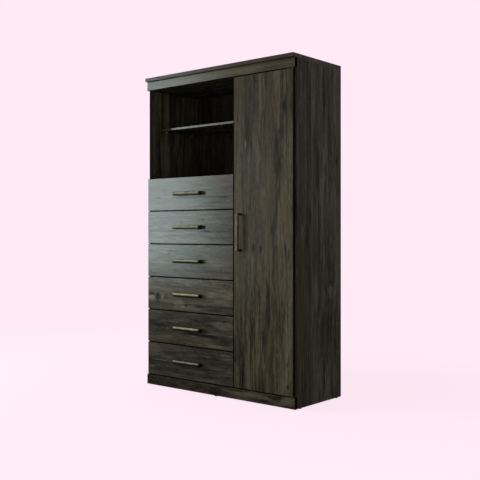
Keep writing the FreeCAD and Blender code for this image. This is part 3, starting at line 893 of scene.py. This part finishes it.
def small_kinds():
    """Every kind of small piece: its slot, its material and its form."""
    steel = zinc("zinc_screws", seed=5.0)
    polished = zinc("polished_balls", seed=9.0)
    clear = plastic("bumper_plastic", CLEAR, CLEAR_GRAIN)
    return SimpleNamespace(
        rail_screw=("zinc_steel", steel, screw_head(*RAIL_SCREW)),
        handle_screw=("zinc_steel", steel, screw_head(*HANDLE_SCREW)),
        plate_screw=("zinc_steel", steel, screw_head(*PLATE_SCREW)),
        box_screw=("zinc_steel", steel, screw_head(*BOX_SCREW)),
        collar=("zinc_steel", steel, turned(COLLAR_OUTLINE, ROUND_SEGMENTS)),
        ball=("zinc_steel", polished, turned(BALL_OUTLINE, BALL_SEGMENTS)),
        bumper=("black_plastic", clear, turned(BUMPER_OUTLINE, ROUND_SEGMENTS)),
    )


def handle_screws(handle, body, board, axis, kind):
    """Two screws behind a front, in line with the legs of its handle."""
    middle = centre(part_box(handle))
    spots = []
    for side in (-1, 1):
        place = Vector((middle.x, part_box(board)[1].y, middle.z))
        place[AXES.index(axis)] += side * HANDLE_SCREW_OFFSET
        spots.append((place, BACKWARD))
    set_out(handle + "_screws", body, kind, spots)


def rail_screws(name, body, node, outward, kind):
    """Screws in the web of each rail, whose heads face away from the drawer's middle, 1, or to it, -1."""
    middle = centre(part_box(node))
    spots = []
    for low, high in islands(node):
        rail = centre((low, high))
        way = outward if rail.x > middle.x else -outward
        web = low.x + RAIL_STEEL if way > 0 else high.x - RAIL_STEEL
        spots += [((web, low.y + hole, rail.z), (way, 0, 0)) for hole in RAIL_HOLES]
    set_out(name, body, kind, spots)


def box_screws(body, kind):
    """Screws through the sides of a drawer box into its back."""
    low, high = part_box(body + "_box")
    spots = []
    for face, way in ((low.x, -1), (high.x, 1)):
        for row in (low.z + BOX_SCREW_INSET, high.z - BOX_SCREW_INSET):
            spots.append(((face, high.y - BOX_BOARD / 2, row), (way, 0, 0)))
    set_out(body + "_box_screws", body, kind, spots)


def slide_balls(body, kind):
    spots = []
    for low, high in islands(body + "_mid_rails"):
        for row in (low.z + BALL_INSET, high.z - BALL_INSET):
            for step in range(BALL_COUNT):
                spots.append((((low.x + high.x) / 2, low.y + BALL_START + step * BALL_PITCH, row), UP))
    set_out(body + "_slide_balls", body + "_mid", kind, spots)


def bumpers(body, board, columns, inset, kind):
    """Bumpers behind a front or the door, near its upper and lower edges."""
    low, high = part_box(board)
    spots = [((x, high.y, z), BACKWARD) for x in columns for z in (low.z + inset, high.z - inset)]
    set_out(body + "_bumpers", body, kind, spots)


def plate_screws(node, body, step_back, way, kind):
    """Two screws in each pivot plate, on the side that faces the gap between door and frame."""
    spots = []
    for low, high in islands(node):
        upper = low.z > centre(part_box("door_panel")).z
        face = high.z - step_back if upper else low.z + step_back
        for inset in PLATE_SCREWS:
            spots.append(((high.x - inset, (low.y + high.y) / 2, face), (0, 0, way if upper else -way)))
    set_out(node[:-1] + "_screws", body, kind, spots)


def pin_collars(kind):
    """A collar round each shelf pin, on the wall that the pin stands in."""
    left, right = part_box("partition")
    walls = (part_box("left_side")[1].x, left.x, right.x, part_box("right_side")[0].x)
    spots = []
    for low, high in islands("shelf_pins"):
        pin = centre((low, high))
        wall = min(walls, key=lambda x: abs(x - pin.x))
        spots.append(((wall, pin.y, pin.z), (1 if pin.x > wall else -1, 0, 0)))
    set_out("shelf_pin_collars", "carcass", kind, spots)


def fit_drawer(body, kinds):
    front = body + "_front"
    low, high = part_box(front)
    handle_screws(body + "_handle", body, front, "x", kinds.handle_screw)
    rail_screws(body + "_rail_screws", body, body + "_rails", 1, kinds.rail_screw)
    box_screws(body, kinds.box_screw)
    slide_balls(body, kinds.ball)
    columns = (low.x + DRAWER_BUMPER_LEFT, high.x - DRAWER_BUMPER_RIGHT)
    bumpers(body, front, columns, DRAWER_BUMPER_INSET, kinds.bumper)


def fit_door(kinds):
    free_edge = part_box("door_panel")[0].x
    handle_screws("door_handle", "door", "door_panel", "z", kinds.handle_screw)
    bumpers("door", "door_panel", [free_edge + DOOR_BUMPER_SIDE], DOOR_BUMPER_INSET, kinds.bumper)
    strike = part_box("catch_plate")
    spot = centre(strike)
    spot.y = strike[1].y
    set_out("catch_plate_screw", "door", kinds.plate_screw, [(spot, BACKWARD)])


def fit_small_pieces():
    """Screws, balls, bumpers and pin collars, each from the CAD solids that they belong to."""
    kinds = small_kinds()
    for number in DRAWERS:
        fit_drawer("drawer_%d" % number, kinds)
    fit_door(kinds)
    plate_screws("pivot_plates", "carcass", PLATE_STEEL, -1, kinds.plate_screw)
    plate_screws("door_pivot_plates", "door", 0.0, 1, kinds.plate_screw)
    rail_screws("cabinet_rail_screws", "carcass", "cabinet_rails", -1, kinds.rail_screw)
    pin_collars(kinds.collar)


# Stage. The floor's glow is brighter near the chest, where lit paint shows through it.
FLOOR_SIZE = 40.0
FLOOR_PAINT = rgb(255, 238, 248)
BACKGROUND = rgb(255, 234, 246)
NEAR_GAIN = 1.19
NEAR_GLOW = tuple(value * NEAR_GAIN for value in BACKGROUND)
NEAR_SHARE = 0.75
FADE_FROM = 0.9
FADE_TO = 3.4
FLOOR_MIRRORED = rgb(120, 110, 104)
DAYLIGHT = (0.31, 0.31, 0.31, 1.0)


def seen(rays):
    """1 for what the camera sees, straight, mirrored or through glass, and 0 for light on the object."""
    return rays[CAMERA_RAY].largest(rays[GLOSSY_RAY]).largest(rays[TRANSMISSION_RAY])


def floor_paint():
    """Lit paint that takes the chest's shadow, with a glow that fades into the plain background."""
    f = finish("floor_paint")
    x, y, z = f.parts(f.place())
    fade = ((x * x + y * y) ** 0.5).step(FADE_FROM, FADE_TO)
    rays = f.add("ShaderNodeLightPath")
    colour = f.blend(rays[GLOSSY_RAY], f.blend(fade, NEAR_GLOW, BACKGROUND), FLOOR_MIRRORED)
    paint = f.add("ShaderNodeBsdfDiffuse", None, {"Color": FLOOR_PAINT})[0]
    glow = f.add("ShaderNodeEmission", None, {"Color": colour, "Strength": 1.0})[0]
    share = (fade * (1.0 - NEAR_SHARE) + NEAR_SHARE) * seen(rays)
    mixed = f.add("ShaderNodeMixShader", None, {0: share, 1: paint, 2: glow})[0]
    f.add("ShaderNodeOutputMaterial", None, {0: mixed})
    return f.owner


def stage_floor():
    mesh = bpy.data.meshes.new("stage_floor")
    half = FLOOR_SIZE / 2
    corners = [(-half, -half, 0), (half, -half, 0), (half, half, 0), (-half, half, 0)]
    mesh.from_pydata(corners, [], [(0, 1, 2, 3)])
    mesh.materials.append(floor_paint())
    floor = bpy.data.objects.new("stage_floor", mesh)
    scene.collection.objects.link(floor)


def area_lamp(name, place, aim, width, height, watts, colour):
    lamp = bpy.data.lights.new(name, "AREA")
    lamp.shape = "RECTANGLE"
    lamp.size = width
    lamp.size_y = height
    lamp.energy = watts
    lamp.color = colour
    holder = bpy.data.objects.new(name, lamp)
    holder.location = place
    holder.rotation_mode = "QUATERNION"
    holder.rotation_quaternion = (Vector(aim) - Vector(place)).to_track_quat("-Z", "Y")
    scene.collection.objects.link(holder)


def surroundings():
    """Grey daylight on the object, and the pale background that the camera and mirrored rays see."""
    scene.world = bpy.data.worlds.new("studio")
    f = Nodes(scene.world)
    colour = f.blend(seen(f.add("ShaderNodeLightPath")), DAYLIGHT, BACKGROUND)
    background = f.add("ShaderNodeBackground", None, {"Color": colour})[0]
    f.add("ShaderNodeOutputWorld", None, {0: background})


def camera():
    data = bpy.data.cameras.new("camera")
    data.lens = LENS_MM
    data.sensor_width = SENSOR_MM
    data.shift_y = SHIFT_Y
    data.clip_end = SEEN_TO
    holder = bpy.data.objects.new("camera", data)
    holder.location = CAMERA_PLACE
    holder.rotation_euler = (math.pi / 2, 0.0, CAMERA_TURN)
    scene.collection.objects.link(holder)
    scene.camera = holder


zinc_steel = zinc("zinc_steel", seed=2.0)
dress_boards()
dress_door_parts()
dress_drawers(zinc_steel)
dress_hardware(zinc_steel)
stage_floor()
fit_small_pieces()
for lamp_name, settings in LAMPS.items():
    area_lamp(lamp_name, *settings)
surroundings()
camera()
scene.view_settings.view_transform = "Standard"
